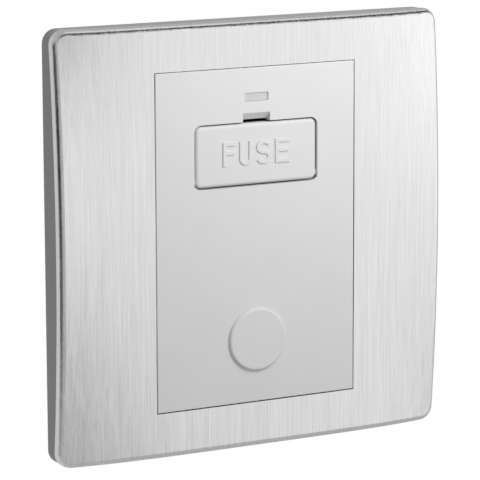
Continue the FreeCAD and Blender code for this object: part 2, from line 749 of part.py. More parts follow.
def cheek(sketch):
    """A quarter disc about the pivot, from straight back to straight up."""
    y, z, radius = number(PIVOT_Y), number(PIVOT_Z), number("cheek_r")
    back = number("carrier_t - face_depth")
    rise = math.sqrt(radius ** 2 - (back - y) ** 2)
    low, corner = Vector(y + radius, z, 0), Vector(back, z, 0)
    high = Vector(back, z + rise, 0)
    start, end = 0.0, math.atan2(rise, back - y)
    arc = Part.ArcOfCircle(Part.Circle(Vector(y, z, 0), Vector(0, 0, 1), radius), start, end)
    sketch.addGeometry(arc, False)
    sketch.addGeometry(Part.LineSegment(high, corner), False)
    sketch.addGeometry(Part.LineSegment(corner, low), False)
    for a, end_a, b, end_b in ((0, 2, 1, 1), (1, 2, 2, 1), (2, 2, 0, 1)):
        sketch.addConstraint(Sketcher.Constraint("Coincident", a, end_a, b, end_b))
    hold(sketch, "DistanceX", (-1, 1, 0, 3), PIVOT_Y)
    hold(sketch, "DistanceY", (-1, 1, 0, 3), PIVOT_Z)
    hold(sketch, "Radius", (0,), "cheek_r")
    hold(sketch, "DistanceX", (-1, 1, 1, 2), "carrier_t - face_depth")
    hold(sketch, "DistanceY", (-1, 1, 1, 2), PIVOT_Z)
    sketch.addConstraint(Sketcher.Constraint("Vertical", 1))
    sketch.addConstraint(Sketcher.Constraint("Horizontal", 2))


def cartridge_fuse():
    tube_l = "fuse_l - 2 * fuse_cap_t - 2 * fuse_fit"
    piece(cylinder("fuse_tube", "fuse_r - fuse_cap_t - fuse_fit", tube_l, "-(%s) / 2" % tube_l, FUSE_Y, FUSE_Z, "X"))
    for side, name in (("-", "left"), ("", "right")):
        start = "-fuse_l / 2" if side else "fuse_l / 2 - fuse_cap_l"
        hollow = "fuse_cap_t - fuse_l / 2" if side else "fuse_l / 2 - fuse_cap_l"
        cup = cylinder("fuse_cup_" + name, "fuse_r", "fuse_cap_l", start, FUSE_Y, FUSE_Z, "X")
        bore = cylinder("fuse_cup_bore_" + name, "fuse_r - fuse_cap_t", "fuse_cap_l - fuse_cap_t", hollow,
                        FUSE_Y, FUSE_Z, "X")
        piece(cut("fuse_cap_" + name, cup, bore))


# sprung contacts that the fuse swings into, and the straps on the deck

def clip(name, side):
    """A part ring behind the end cap, open to the way the fuse swings out."""
    lean = math.degrees(math.atan2(number(FUSE_Z) - number(PIVOT_Z), number(FUSE_Y) - number(PIVOT_Y)))
    wrap = number("contact_wrap")
    start = lean - 90 - wrap / 2 + number("contact_lean")
    x = "%scontact_x - contact_w / 2" % side
    drum = cylinder(name + "_drum", "fuse_r + contact_gap + contact_t", "contact_w", x, FUSE_Y, FUSE_Z, "X")
    drum.setExpression("Angle", bound("contact_wrap"))
    # the drum's own X turns with the start angle, measured from +Y towards +Z
    turn = Rotation(Vector(1, 0, 0), start).multiply(
        Rotation(Vector(0, 1, 0), Vector(0, 0, 1), Vector(1, 0, 0), "ZXY"))
    drum.Placement = FreeCAD.Placement(drum.Placement.Base, turn)
    hole = cylinder(name + "_hole", "fuse_r + contact_gap", "contact_w", x, FUSE_Y, FUSE_Z, "X")
    ring = cut(name + "_ring", drum, hole)
    back = math.radians(lean - 90)
    ring_mid = number("fuse_r + contact_gap + contact_t / 2")
    root_y, root_z = ring_mid * math.cos(back), ring_mid * math.sin(back)
    leg = block(name + "_leg", (x, "%scontact_x + contact_w / 2" % side),
                ("(%s) + %.6f" % (FUSE_Y, root_y), "deck_back"),
                ("(%s) + %.6f - contact_leg_t / 2" % (FUSE_Z, root_z),
                 "(%s) + %.6f + contact_leg_t / 2" % (FUSE_Z, root_z)))
    return ring, leg, root_z


def strap_block(name, x, z):
    return block(name, x, (STRAP_FRONT, "deck_back"), z)


def with_rivet_holes(name, solid, spots):
    """Pierces a strap where the stems of its terminals come through."""
    holes = [cylinder("%s_hole_%d" % (name, i), "stem_r + stem_gap", "strap_t", x, STRAP_FRONT, z)
             for i, (x, z) in enumerate(spots)]
    return piece(cut(name, solid, *holes))


def fuse_contacts():
    half = "strap_w / 2"
    ring, leg, root_z = clip("line_clip", "-")
    low = "(%s) + %.6f + contact_leg_t / 2" % (FUSE_Z, root_z)
    fall = strap_block("line_fall", ("-contact_x - contact_w / 2", "-contact_x + contact_w / 2"),
                       ("-terminal_z - " + half, low))
    across = strap_block("line_across", ("-terminal_outer_x - " + half, "-contact_x + contact_w / 2"),
                         ("-terminal_z - " + half, "-terminal_z + " + half))
    with_rivet_holes("fuse_contact_line", fuse("line_strip", ring, leg, fall, across),
                     [TERMINALS["line_terminal"]])
    ring, leg, root_z = clip("load_clip", "")
    low = "(%s) + %.6f - contact_leg_t / 2" % (FUSE_Z, root_z)
    rise = strap_block("load_rise", ("contact_x - contact_w / 2", "contact_x + contact_w / 2"),
                       (low, "terminal_z + " + half))
    across = strap_block("load_across", ("terminal_inner_x - " + half, "contact_x + contact_w / 2"),
                         ("terminal_z - " + half, "terminal_z + " + half))
    with_rivet_holes("fuse_contact_load", fuse("load_strip", ring, leg, rise, across),
                     [TERMINALS["load_terminal"]])


def straps():
    half = "strap_w / 2"
    outer = "tower_x - boss_wall_gap - tower_r - strap_gap"
    inner = "(%s) - neutral_run_w" % outer
    run = strap_block("neutral_run", (inner, outer), ("-terminal_z - " + half, "terminal_z + " + half))
    pads = [strap_block("neutral_pad_%d" % i, (inner, "terminal_outer_x + " + half),
                        ("%sterminal_z - " % side + half, "%sterminal_z + " % side + half))
            for i, side in enumerate(SIDES)]
    with_rivet_holes("neutral_strap", fuse("neutral_strip", run, *pads),
                     [TERMINALS["neutral_load_terminal"], TERMINALS["neutral_supply_terminal"]])
    strip = strap_block("earth_strip", ("-terminal_outer_x - " + half, "-terminal_inner_x + " + half),
                        ("terminal_z - " + half, "terminal_z + " + half))
    tab = strap_block("earth_tab", ("-(terminal_outer_x + terminal_inner_x) / 2 - tongue_w / 2",
                                    "-(terminal_outer_x + terminal_inner_x) / 2 + tongue_w / 2"),
                      ("terminal_z + " + half, "tongue_z + tongue_t"))
    with_rivet_holes("earth_strap", fuse("earth_strip_and_tab", strip, tab),
                     [TERMINALS["earth_supply_terminal"], TERMINALS["earth_load_terminal"]])


# brass terminals, each riveted through the deck to its strap

def terminals():
    screws = []
    for name, (x, z) in TERMINALS.items():
        stem = cylinder(name + "_stem", "stem_r", "deck_t + strap_t", x, STRAP_FRONT, z)
        rivet = cylinder(name + "_rivet", "stem_r + rivet_rim", "rivet_t", x, "(%s) - rivet_t" % STRAP_FRONT, z)
        brass = block(name + "_brass", ("%s - terminal_w / 2" % x, "%s + terminal_w / 2" % x),
                      (DECK_REAR, TERMINAL_REAR), ("%s - terminal_h / 2" % z, "%s + terminal_h / 2" % z))
        wire = cylinder(name + "_wire_hole", "wire_r", "terminal_h", x, WIRE_Y, "%s - terminal_h / 2" % z, "Z")
        tapped = cylinder(name + "_tapped_hole", "clamp_screw_r + clamp_screw_gap",
                          "terminal_d - wire_in", x, WIRE_Y, z)
        piece(cut(name, fuse(name + "_solid", stem, rivet, brass), wire, tapped))
        tip = "(%s) + wire_r + clamp_back_off" % WIRE_Y
        screws.append(slotted_screw(name + "_screw", x, tip, TERMINAL_REAR, z, "clamp_screw_r", "clamp_head_r",
                                    "clamp_head_t"))
    group("terminal_screws", screws)


def slotted_screw(name, x, tip, seat, z, shank_r, head_r, head_t):
    """A cheese-head screw driven from behind, its head seated at one Y and its tip at another."""
    shank = cylinder(name + "_shank", shank_r, "(%s) - (%s)" % (seat, tip), x, tip, z)
    head = cylinder(name + "_head", head_r, head_t, x, seat, z)
    driver = block(name + "_driver", ("%s - %s" % (x, head_r), "%s + %s" % (x, head_r)),
                   ("(%s) + %s / 2" % (seat, head_t), "(%s) + %s" % (seat, head_t)),
                   ("%s - screw_slot_w / 2" % z, "%s + screw_slot_w / 2" % z))
    return cut(name, fuse(name + "_solid", shank, head), driver)


# rear housing, its screws, the outlet's cap and the cord grip

def rear_housing():
    body = new_body("rear_housing")
    rear = "-housing_d"
    pad(body, "shell", lambda s: rectangle(s, "housing_w", "housing_h"), rear, "0")
    round_edges(body, "shell_corners", "housing_corner_r", lambda edge: runs_along(edge, 1))
    pocket(body, "front_bay", lambda s: rectangle(s, INNER_W, INNER_H), "-deck_back", "0")
    pocket(body, "rear_bay", lambda s: rectangle(s, INNER_W, "bay_h"), rear, "-(%s)" % DECK_REAR)

    def towers(sketch):
        for x in SIDES:
            for z in SIDES:
                circle(sketch, "tower_r", x + "(tower_x - boss_wall_gap)", z + "tower_z")
    pad(body, "towers", towers, rear, "0")

    def grip_towers(sketch):
        for side in SIDES:
            circle(sketch, "grip_tower_r", side + "grip_x", "grip_z")
    pad(body, "grip_towers", grip_towers, rear, "-deck_back")
    pad(body, "duct", lambda s: circle(s, "duct_r + duct_wall", "0", "outlet_z"), rear, "0")
    pocket(body, "duct_bore", lambda s: circle(s, "duct_r", "0", "outlet_z"), rear, "0")

    def terminal_bays(sketch):
        for x, z in TERMINALS.values():
            rectangle(sketch, "terminal_w + 2 * terminal_gap", "terminal_h + 2 * terminal_gap", x, z)
    pocket(body, "terminal_bays", terminal_bays, rear, "-(%s)" % DECK_REAR)

    def stem_holes(sketch):
        for x, z in TERMINALS.values():
            circle(sketch, "stem_r + stem_gap", x, z)
    pocket(body, "stem_holes", stem_holes, "-(%s)" % DECK_REAR, "-deck_back")

    def screw_holes(sketch):
        for x in SIDES:
            for z in SIDES:
                circle(sketch, "screw_r + screw_gap", x + "(tower_x - boss_wall_gap)", z + "tower_z")
    pocket(body, "screw_holes", screw_holes, rear, "0")

    def screw_sinks(sketch):
        for x in SIDES:
            for z in SIDES:
                circle(sketch, "screw_head_r + screw_gap", x + "(tower_x - boss_wall_gap)", z + "tower_z")
    pocket(body, "screw_sinks", screw_sinks, rear, "screw_sink - housing_d")

    def grip_holes(sketch):
        for side in SIDES:
            circle(sketch, "grip_screw_r + screw_thread_gap", side + "grip_x", "grip_z")
    pocket(body, "grip_holes", grip_holes, rear, "grip_screw_deep - housing_d")

    # cable entries above the top row of terminals and below the bottom pair
    def entries(side):
        def draw(sketch):
            for x, z in TERMINALS.values():
                if z.startswith("-") == (side == "-"):
                    circle(sketch, "wire_notch_r", x, WIRE_Y)
        return draw
    wall = "housing_h / 2 - terminal_z - terminal_h / 2"
    pocket(body, "top_entries", entries(""), "housing_h / 2 - (%s)" % wall, "housing_h / 2", plane="XY")
    pocket(body, "bottom_entries", entries("-"), "-housing_h / 2", "(%s) - housing_h / 2" % wall, plane="XY")
    return piece(body)


def housing_screws():
    screws = []
    for i, x in enumerate(SIDES):
        for j, z in enumerate(SIDES):
            screws.append(slotted_screw("housing_screw_%d%d" % (i, j), x + "(tower_x - boss_wall_gap)",
                                        "0.5 - boss_hole_deep", "housing_d - screw_sink", z + "tower_z",
                                        "screw_r", "screw_head_r", "screw_head_t"))
    group("housing_screws", screws)


def outlet_cap():
    """A blank disc with a rounded edge, whose split skirt snaps behind the panel."""
    body = new_body("outlet_cap")
    front = "face_depth + cap_proud"
    pad(body, "disc", lambda s: circle(s, "cap_r", "0", "outlet_z"), "face_depth", front)
    round_edges(body, "disc_edge", "cap_edge_r", lambda edge: at_depth(edge, front))

    def skirt(sketch):
        circle(sketch, "outlet_r - cap_spigot_gap", "0", "outlet_z")
        circle(sketch, "outlet_r - cap_spigot_gap - cap_spigot_t", "0", "outlet_z")
    pad(body, "skirt", skirt, "face_depth - cap_spigot_l", "face_depth")

    def barb(sketch):
        circle(sketch, "outlet_r + cap_barb", "0", "outlet_z")
        circle(sketch, "outlet_r - cap_spigot_gap - cap_spigot_t", "0", "outlet_z")
    pad(body, "barb", barb, "face_depth - cap_spigot_l", "(%s) - cap_spigot_gap" % PANEL_BACK)

    def splits(sketch):
        rectangle(sketch, "2 * cap_r", "cap_spigot_t", "0", "outlet_z")
    pocket(body, "splits", splits, "face_depth - cap_spigot_l", "face_depth - cap_spigot_gap")
    return piece(body)


def cord_grip():
    body = new_body("cord_grip_bar")
    front, rear = "-housing_d", "-housing_d - grip_bar_t"
    pad(body, "bar", lambda s: rectangle(s, "grip_bar_w", "grip_bar_h", "0", "grip_z"), rear, front)
    round_edges(body, "bar_ends", "grip_bar_h / 2 - 0.5", lambda edge: runs_along(edge, 1))
    # the arch runs up and down under the bar, drawn as X and Y from above
    pocket(body, "arch", lambda s: circle(s, "grip_arch_r", "0", "housing_d"), "grip_z - grip_bar_h / 2",
           "grip_z + grip_bar_h / 2", plane="XY")

    def holes(sketch):
        for side in SIDES:
            circle(sketch, "grip_screw_r + screw_gap", side + "grip_x", "grip_z")
    pocket(body, "bar_holes", holes, rear, front)
    piece(body)
    screws = [slotted_screw("grip_screw_%d" % i, side + "grip_x", "housing_d - grip_screw_deep + 0.5",
                            "housing_d + grip_bar_t", "grip_z", "grip_screw_r", "grip_head_r", "grip_head_t")
              for i, side in enumerate(SIDES)]
    group("cord_grip_screws", screws)


face_plate()
trim_frame()
support_frame()
front_panel()
indicator()
fuse_carrier()
cartridge_fuse()
fuse_contacts()
straps()
terminals()
rear_housing()
housing_screws()
outlet_cap()
cord_grip()
doc.recompute()

for item in doc.Objects:
    if "Invalid" in item.State or "Error" in item.State:
        raise RuntimeError("%s could not be built: %s" % (item.Name, item.State))
    if item.TypeId == "PartDesign::Pocket" and item.Shape.Volume > item.BaseFeature.Shape.Volume - 1e-3:
        raise RuntimeError("%s cuts nothing" % item.Name)

os.makedirs("parts", exist_ok=True)
for item in PIECES:
    if item.Shape.isNull() or not item.Shape.isValid():
        raise RuntimeError("%s has no sound shape" % item.Label)
    item.Shape.exportStep("parts/%s.step" % item.Label)
    print("%-24s %2d solid(s) %10.1f mm3" % (item.Label, len(item.Shape.Solids), item.Shape.Volume))
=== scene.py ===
import math

import bmesh
import bpy
from mathutils import Matrix, Vector


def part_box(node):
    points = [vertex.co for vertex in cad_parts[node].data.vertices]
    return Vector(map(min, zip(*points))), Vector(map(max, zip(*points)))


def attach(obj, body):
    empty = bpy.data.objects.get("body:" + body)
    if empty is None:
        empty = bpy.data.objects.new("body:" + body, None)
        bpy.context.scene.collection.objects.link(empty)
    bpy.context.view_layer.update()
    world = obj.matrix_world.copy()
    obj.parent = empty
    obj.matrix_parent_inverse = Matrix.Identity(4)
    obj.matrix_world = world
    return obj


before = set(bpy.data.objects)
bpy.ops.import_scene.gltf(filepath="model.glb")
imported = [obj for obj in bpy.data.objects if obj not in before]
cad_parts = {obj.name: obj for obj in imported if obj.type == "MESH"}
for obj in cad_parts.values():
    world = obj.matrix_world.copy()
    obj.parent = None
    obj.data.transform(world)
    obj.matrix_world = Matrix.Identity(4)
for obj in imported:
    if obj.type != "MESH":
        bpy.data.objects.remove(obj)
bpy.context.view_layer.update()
MM = 0.001


# Rear housing. One piece of matt white thermoset, moulded with its deck, terminal bays, screw
# towers and flex duct. Four long screws draw it up to the front moulding.

class Shade:
    """One output of a node, on which Python's operators add further nodes."""

    def __init__(self, owner, socket):
        self.owner, self.socket = owner, socket

    def maths(self, operation, first, second):
        return self.owner.node("ShaderNodeMath", {"operation": operation}, {0: first, 1: second})

    def __add__(self, other):
        return self.maths("ADD", self, other)

    def __sub__(self, other):
        return self.maths("SUBTRACT", self, other)

    def __rsub__(self, other):
        return self.maths("SUBTRACT", other, self)

    def __mul__(self, other):
        return self.maths("MULTIPLY", self, other)

    def __gt__(self, other):
        return self.maths("GREATER_THAN", self, other)

    def __lt__(self, other):
        return self.maths("LESS_THAN", self, other)


class Nodes:
    """A node tree, to which one method adds every node."""

    def __init__(self, tree):
        self.tree = tree
        tree.nodes.clear()

    def node(self, kind, settings=None, inputs=None, output=0):
        made = self.tree.nodes.new(kind)
        for key, value in (settings or {}).items():
            if key == "stops":
                self.set_stops(made.color_ramp, value)
            else:
                setattr(made, key, value)
        for key, value in (inputs or {}).items():
            if isinstance(value, Shade):
                self.tree.links.new(value.socket, made.inputs[key])
            else:
                made.inputs[key].default_value = value
        return Shade(self, made.outputs[output]) if made.outputs else None

    def set_stops(self, ramp, stops):
        while len(ramp.elements) > 1:
            ramp.elements.remove(ramp.elements[-1])
        for i, (position, level) in enumerate(stops):
            element = ramp.elements[0] if i == 0 else ramp.elements.new(position)
            element.position = position
            element.color = (level, level, level, 1)


class Finish(Nodes):
    """A material built around one Principled shader, whose plain constants are set directly."""

    def __init__(self, name, colour, roughness, metallic=0.0, **constants):
        self.material = bpy.data.materials.new(name)
        self.material.use_nodes = True
        super().__init__(self.material.node_tree)
        self.shader = self.tree.nodes.new("ShaderNodeBsdfPrincipled")
        self.output = self.tree.nodes.new("ShaderNodeOutputMaterial")
        self.tree.links.new(self.shader.outputs[0], self.output.inputs["Surface"])
        plain = {"Base Color": (*colour, 1), "Roughness": roughness, "Metallic": metallic}
        plain.update({key.replace("_", " "): value for key, value in constants.items()})
        for key, value in plain.items():
            self.shader.inputs[key].default_value = value

    def place(self):
        """The point on the surface in the frame of the piece, in metres."""
        return self.node("ShaderNodeTexCoord", output="Object")

    def along(self, vector, axis):
        return self.node("ShaderNodeSeparateXYZ", inputs={0: vector}, output=axis)

    def stretched(self, factors):
        return self.node("ShaderNodeVectorMath", {"operation": "MULTIPLY"},
                         {0: self.place(), 1: factors})

    def noise(self, scale, detail=2.0, roughness=0.5, vector=None):
        return self.node("ShaderNodeTexNoise", {}, {"Vector": vector or self.place(), "Scale": scale,
                                                    "Detail": detail, "Roughness": roughness})

    def tint(self, mask, first, second):
        """The first colour where the mask is 0 and the second where it is 1."""
        return self.over(mask, (*first, 1), second)

    def over(self, mask, below, colour):
        """A colour laid over another colour or output where the mask is 1."""
        return self.node("ShaderNodeMix", {"data_type": "RGBA"},
                         {0: mask, 6: below, 7: (*colour, 1)}, 2)

    def feed(self, **links):
        for key, value in links.items():
            self.tree.links.new(value.socket, self.shader.inputs[key.replace("_", " ")])

    def bump(self, height, distance, under=None):
        inputs = {"Height": height, "Distance": distance, "Strength": 1.0}
        if under:
            inputs["Normal"] = under
        return self.node("ShaderNodeBump", {}, inputs)


def darker(colour, factor):
    return tuple(channel * factor for channel in colour)


def moulding(name, colour, roughness, grain=0.6, **constants):
    """A moulded thermoset: faint flow mottling under a fine eggshell skin."""
    made = Finish(name, colour, roughness, **constants)
    mottle = made.noise(120, 3)
    fine = made.noise(5200, 2)
    made.feed(Base_Color=made.tint(mottle, darker(colour, 0.965), darker(colour, 1.03)),
              Roughness=mottle * 0.08 + (roughness - 0.04),
              Normal=made.bump(fine, 0.00001 * grain, under=made.bump(mottle, 0.00004 * grain)))
    return made.material


def soften(node, width, angle=35.0, segments=2):
    """Rounds the sharp edges of a CAD node a little, by modifiers alone."""
    weld = node.modifiers.new("weld", "WELD")
    weld.merge_threshold = 0.002 * MM
    bevel = node.modifiers.new("edges", "BEVEL")
    bevel.width = width * MM
    bevel.segments = segments
    bevel.limit_method = "ANGLE"
    bevel.angle_limit = math.radians(angle)
    bevel.use_clamp_overlap = True
    bevel.harden_normals = True


def dress(name, material, edge=0.0):
    """Gives a CAD node its material, and its edges a small radius."""
    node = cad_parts[name]
    for slot in node.material_slots:
        slot.material = material
    if edge:
        soften(node, edge)


white_back = moulding("matt_white_thermoset", (0.7, 0.7, 0.69), 0.55, grain=1.2)
dress("rear_housing", white_back, edge=0.15)


# Terminals. Six blocks sawn from brass bar, drilled across for the wire and tapped from behind for
# the clamp screw. Each is riveted through the deck to the strap on its other side.

def machined(name, colour, roughness, lines=(200, 200, 9000), **constants):
    """Sawn or turned metal, with fine tool lines and a little tarnish."""
    made = Finish(name, colour, roughness, 1.0, **constants)
    tool = made.noise(1.0, 2, vector=made.stretched(lines))
    tarnish = made.noise(260, 4, 0.6)
    made.feed(Base_Color=made.tint(tarnish, darker(colour, 0.82), darker(colour, 1.08)),
              Roughness=tarnish * 0.16 + tool * 0.1 + (roughness - 0.13),
              Normal=made.bump(tool, 0.00001))
    return made.material


terminal_brass = machined("sawn_brass", (0.72, 0.52, 0.24), 0.36)
for terminal in ("load_terminal", "line_terminal", "neutral_load_terminal", "neutral_supply_terminal",
                 "earth_supply_terminal", "earth_load_terminal"):
    dress(terminal, terminal_brass, edge=0.12)


# Straps and fuse contacts. Rolled brass strip, blanked and bent. The two contacts curl round the
# fuse's end caps and spring on them, and their straps run over the deck to the rivets.

strip_brass = machined("rolled_brass_strip", (0.74, 0.56, 0.28), 0.3, lines=(5000, 300, 300))
for strap in ("fuse_contact_line", "fuse_contact_load", "neutral_strap", "earth_strap"):
    dress(strap, strip_brass, edge=0.06)


# Screws. Zinc-plated steel with cheese heads and a plain slot: six clamp the wires, four hold the
# housing to the front moulding and two draw down the cord grip.

zinc_screw = machined("zinc_plated_screw", (0.66, 0.66, 0.67), 0.3, lines=(400, 9000, 400))
for screws in ("terminal_screws", "housing_screws", "cord_grip_screws"):
    dress(screws, zinc_screw, edge=0.12)


# Cord grip. A bar of the same thermoset with an arch on its underside, which presses the sheathed
# cord into the wiring bay.

dress("cord_grip_bar", white_back, edge=0.25)


# Indicator. A small glow lamp and its series resistor stand on a paper-laminate board behind the
# lens, and two sleeved leads go down to the load and neutral rivets.

def laminate(name, colour):
    made = Finish(name, colour, 0.45)
    fibres = made.noise(1.0, 4, 0.6, made.stretched((900, 900, 5200)))
    made.feed(Base_Color=made.tint(fibres, darker(colour, 0.78), darker(colour, 1.22)),
              Normal=made.bump(fibres, 0.00001))
    return made.material


def sleeved(name, colour):
    made = Finish(name, colour, 0.4)
    worn = made.noise(700, 3)
    made.feed(Base_Color=made.tint(worn, darker(colour, 0.9), darker(colour, 1.06)),
              Roughness=worn * 0.2 + 0.32, Normal=made.bump(worn, 0.00002))
    return made.material


def banded(name, body, bands):
    """A lacquered resistor: rings of colour at given X places, in millimetres, on its body."""
    half_ring, half_body = 0.3 * MM, 3.1 * MM
    made = Finish(name, body, 0.3)
    x = made.along(made.place(), "X")
    speck = made.noise(2600, 2)
    colour = made.tint(speck, darker(body, 0.9), darker(body, 1.08))
    for middle, ring in bands:
        inside = (x > middle * MM - half_ring) * (x < middle * MM + half_ring)
        colour = made.over(inside, colour, ring)
    lead = 1 - (x > -half_body) * (x < half_body)
    colour = made.over(lead, colour, (0.72, 0.72, 0.72))
    made.feed(Base_Color=colour, Metallic=lead, Normal=made.bump(speck, 0.00001))
    return made.material


def lamp_glass(name):
    made = Finish(name, (0.93, 0.9, 0.88), 0.06, Transmission_Weight=0.85, IOR=1.48)
    film = made.noise(900, 3)
    made.feed(Roughness=film * 0.12 + 0.02, Normal=made.bump(film, 0.00001))
    return made.material


dress("indicator_board", laminate("paper_laminate", (0.33, 0.24, 0.11)), edge=0.05)
dress("indicator_resistor", banded("lacquered_resistor", (0.62, 0.53, 0.38),
                                   ((-1.9, (0.35, 0.03, 0.02)), (-0.8, (0.3, 0.02, 0.3)),
                                    (0.3, (0.7, 0.5, 0.02)), (1.9, (0.55, 0.42, 0.15)))))
dress("indicator_leads", sleeved("ivory_sleeve", (0.72, 0.69, 0.62)))
dress("indicator_lamp", lamp_glass("clear_lamp_glass"))


# Indicator lens. A bar of clear moulding, frosted on its face, pushed through its window from behind
# until its flange stops it a little below the front.

def frosted(name, colour):
    made = Finish(name, colour, 0.38, Transmission_Weight=0.15, IOR=1.49)
    haze = made.noise(3600, 3)
    made.feed(Base_Color=made.tint(haze, darker(colour, 0.96), darker(colour, 1.04)),
              Roughness=haze * 0.2 + 0.3, Normal=made.bump(haze, 0.00001))
    return made.material


dress("indicator_lens", frosted("frosted_lens", (0.69, 0.69, 0.69)), edge=0.1)


# Support frame. Zinc-plated steel pressed from 1.5 mm sheet. The box screws go through its two
# slots, the clip legs spring into its four slits, and one tongue earths it.

def zinc_plate(name, colour):
    made = Finish(name, colour, 0.34, 1.0)
    spangle = made.node("ShaderNodeTexVoronoi", {}, {"Vector": made.place(), "Scale": 420}, "Color")
    level = made.node("ShaderNodeSeparateColor", {}, {0: spangle})
    rolled = made.noise(1.0, 2, vector=made.stretched((4200, 4200, 180)))
    made.feed(Base_Color=made.tint(level, darker(colour, 0.9), darker(colour, 1.08)),
              Roughness=level * 0.12 + rolled * 0.1 + 0.24, Normal=made.bump(rolled, 0.00001))
    return made.material


dress("support_frame", zinc_plate("zinc_plated_sheet", (0.62, 0.63, 0.65)), edge=0.12)


# Front moulding. Smooth white urea, glued to nothing: its flange is trapped between the support
# frame and the clip-on plate. It carries the aperture for the fuse carrier and the flex outlet.

white_front = moulding("smooth_white_urea", (0.72, 0.72, 0.72), 0.4, grain=0.35, Coat_Weight=0.15,
                       Coat_Roughness=0.25)
dress("front_panel", white_front)


# Fuse carrier and its fuse. The carrier swings out on two trunnions, pulled by a blade in the notch
# above it, and brings the ceramic cartridge with its nickel-plated caps out of the contacts.

def ceramic(name, colour):
    made = Finish(name, colour, 0.62)
    body = made.noise(500, 4)
    speck = made.noise(3400, 1) > 0.7
    cloudy = made.tint(body, darker(colour, 0.94), darker(colour, 1.04))
    made.feed(Base_Color=made.over(speck, cloudy, darker(colour, 0.75)), Normal=made.bump(body, 0.00003))
    return made.material


dress("fuse_carrier", white_front)
dress("fuse_tube", ceramic("unglazed_ceramic", (0.8, 0.78, 0.72)))
nickel = machined("nickel_plated_cap", (0.68, 0.67, 0.64), 0.26, lines=(6000, 300, 300))
for cap in ("fuse_cap_left", "fuse_cap_right"):
    dress(cap, nickel, edge=0.25)


# The word on the carrier. Raised in the mould, each letter a stroke 0.8 mm wide with rounded
# shoulders, and of one piece with the carrier.

LETTER_H = 4.85
STROKE = 0.8
LETTER_FRONT = 0.26
LETTER_Z = 16.8


def stroke_outline(points, width):
    """The outline of a stroke that follows a centre line, with square ends."""
    left, right = [], []
    for i, point in enumerate(points):
        before, after = points[max(i - 1, 0)], points[min(i + 1, len(points) - 1)]
        along = Vector((after[0] - before[0], after[1] - before[1])).normalized()
        side = Vector((-along.y, along.x)) * width / 2
        left.append(Vector(point) + side)
        right.append(Vector(point) - side)
    return left + right[::-1]


def arc(x, z, rx, rz, start, end, steps=14):
    return [(x + rx * math.cos(math.radians(start + (end - start) * i / steps)),
             z + rz * math.sin(math.radians(start + (end - start) * i / steps))) for i in range(steps + 1)]


def letter_f(width):
    h, s, bar, arm = LETTER_H, STROKE, LETTER_H * 0.47, width * 0.9
    return [(0, 0), (s, 0), (s, bar), (arm, bar), (arm, bar + s), (s, bar + s),
            (s, h - s), (width, h - s), (width, h), (0, h)]


def letter_e(width):
    h, s, bar, arm = LETTER_H, STROKE, LETTER_H * 0.45, width * 0.93
    return [(0, 0), (width, 0), (width, s), (s, s), (s, bar), (arm, bar), (arm, bar + s),
            (s, bar + s), (s, h - s), (width, h - s), (width, h), (0, h)]


def letter_u(width):
    half = STROKE / 2
    r = (width - STROKE) / 2
    straight_to = LETTER_H * 0.6
    path = [(half, LETTER_H), (half, straight_to)] + arc(width / 2, half + r, r, r, 180, 360)
    return stroke_outline(path + [(width - half, straight_to), (width - half, LETTER_H)], STROKE)


def letter_s(width):
    half = STROKE / 2
    rz = (LETTER_H - STROKE) / 4
    rx = (width - STROKE) / 2
    tip, steps = 22, 22
    top = arc(width / 2, LETTER_H - half - rz, rx, rz, tip, 270, steps)
    low = arc(width / 2, half + rz, rx, rz, 90, tip - 180, steps)
    return stroke_outline(top[:-1] + [(width / 2, LETTER_H / 2)] + low[1:], STROKE)


def raised_letter(name, outline, left):
    """A letter with rounded shoulders, standing on the carrier's face at the given left edge."""
    curve = bpy.data.curves.new(name, "CURVE")
    curve.dimensions = "2D"
    curve.fill_mode = "BOTH"
    shoulder = 0.1
    curve.extrude = (LETTER_FRONT - shoulder) * MM
    curve.bevel_depth = shoulder * MM
    curve.bevel_resolution = 3
    curve.offset = -shoulder * MM
    spline = curve.splines.new("POLY")
    spline.points.add(len(outline) - 1)
    for point, (x, z) in zip(spline.points, outline):
        point.co = (x * MM, z * MM, 0, 1)
    spline.use_cyclic_u = True
    drawn = bpy.data.objects.new(name + "_curve", curve)
    mesh = bpy.data.meshes.new_from_object(drawn)
    bpy.data.objects.remove(drawn)
    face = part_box("fuse_carrier")[0].y
    stand = Matrix(((1, 0, 0, left * MM), (0, 0, -1, face),
                    (0, 1, 0, (LETTER_Z - LETTER_H / 2) * MM), (0, 0, 0, 1)))
    mesh.transform(stand)
    for polygon in mesh.polygons:
        polygon.use_smooth = False
    piece = bpy.data.objects.new(name, mesh)
    bpy.context.collection.objects.link(piece)
    mesh.materials.append(white_front)
    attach(piece, "carrier")


for name, draw, left, right in (("letter_F", letter_f, -7.6, -4.8), ("letter_U", letter_u, -3.9, -1.0),
                                ("letter_S", letter_s, -0.1, 3.25), ("letter_E", letter_e, 4.15, 7.36)):
    raised_letter(name, draw(right - left), left)


# Outlet cap. A blank disc of the same white urea, whose split skirt snaps into the flex outlet. It is
# levered out when the outlet is used.

dress("outlet_cap", white_front)


# Trim frame. A satin grey moulding that clips to the support frame and carries the metal plate, and
# shows as the plate's side all round.

grey_trim = moulding("satin_grey_moulding", (0.45, 0.45, 0.45), 0.55, grain=0.8, Specular_IOR_Level=0.25)
dress("trim_frame", grey_trim, edge=0.08)


# Face plate. A crowned steel pressing with a brushed grain that runs up and down, bonded to the trim
# frame. Its edge is rolled back and its opening is cut clean.

